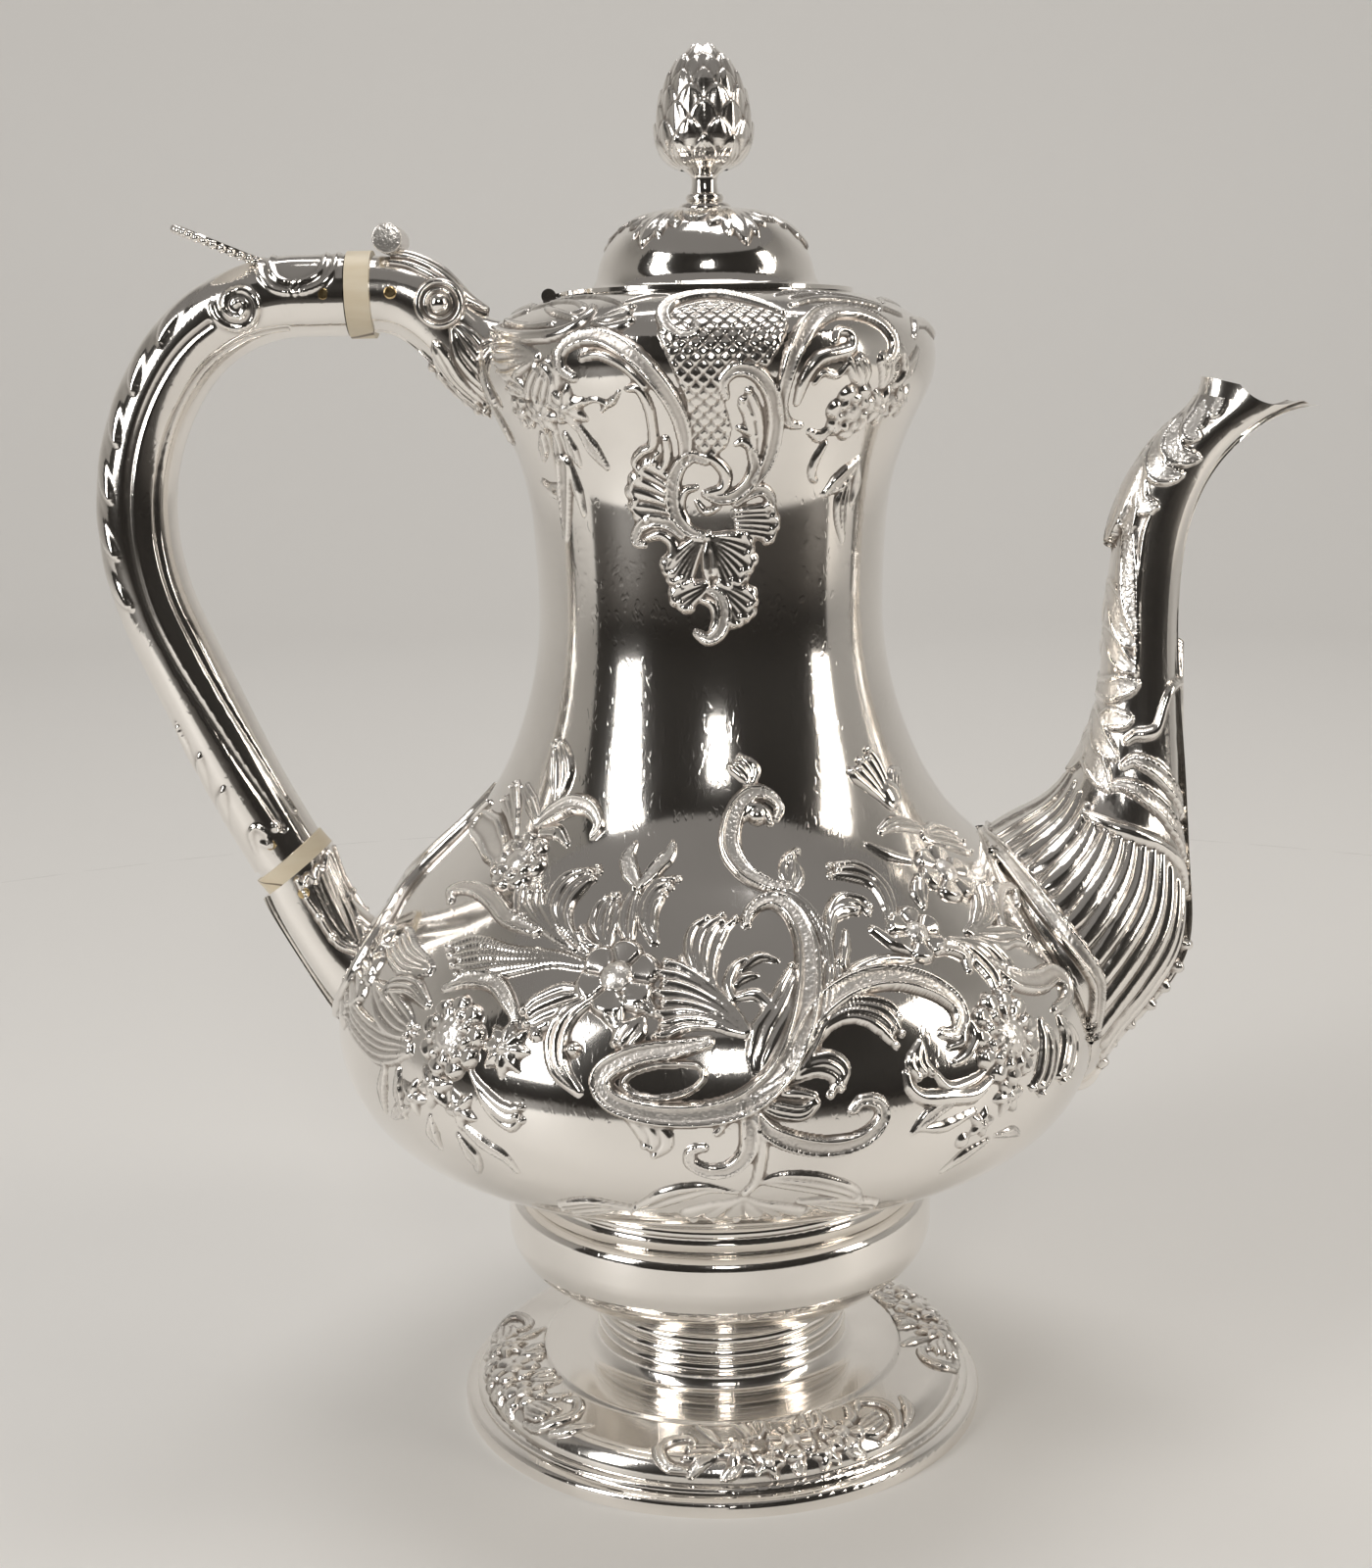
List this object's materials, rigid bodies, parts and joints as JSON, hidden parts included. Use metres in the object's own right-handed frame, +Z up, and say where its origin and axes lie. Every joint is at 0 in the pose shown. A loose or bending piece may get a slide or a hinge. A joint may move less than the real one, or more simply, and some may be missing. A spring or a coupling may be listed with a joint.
{
  "type": "coffee pot",
  "caption": "Footed silver coffee pot with a round belly, waisted neck, hinged domed lid with a bud finial, swan-neck spout and a scrolled handle with cream insulator bands.",
  "frame": {"origin": "centre of the foot's underside", "axes": "+Z up along the pot's axis, +X towards the spout, -X towards the handle, +Y towards the far side"},
  "size_m": [0.2541, 0.164, 0.29],
  "materials": {
    "silver": "polished silver with fine scratches",
    "chased_silver": "chased and cast silver, polished on the high places, darker in the hollows",
    "ivory": "satin cream insulator with fine cracks",
    "pin_metal": "polished"
  },
  "bodies": {
    "pot": {"foot_rim": "silver", "foot_dome": "chased_silver", "stem_knop": "silver", "pedestal_cup": "silver", "body_seat_ring": "silver", "body_shell": "silver", "neck_collar": "chased_silver", "mouth_ring": "silver", "spout_near_half": "chased_silver", "spout_far_half": "chased_silver", "handle_near_half": "silver", "handle_far_half": "silver", "thumb_leaf": "chased_silver", "upper_insulator": "ivory", "lower_insulator": "ivory", "insulator_pins": "pin_metal", "upper_socket": "chased_silver", "upper_socket_leaf": "chased_silver", "lower_socket": "chased_silver", "hinge_body_knuckles": "silver", "hinge_pin": "silver"},
    "lid": {"hinge_lid_knuckle": "silver", "lid_dome": "silver", "lid_plug": "silver", "finial_washer": "silver", "finial_stem": "silver", "finial_bud": "chased_silver", "finial_nut": "silver"}
  },
  "joints": [
    {"name": "lid_hinge", "type": "hinge", "parent": "pot", "child": "lid", "pos_m": [-0.0319, 0, 0.2413], "axis": [0, -1, 0], "range_deg": [0, 95]}
  ]
}
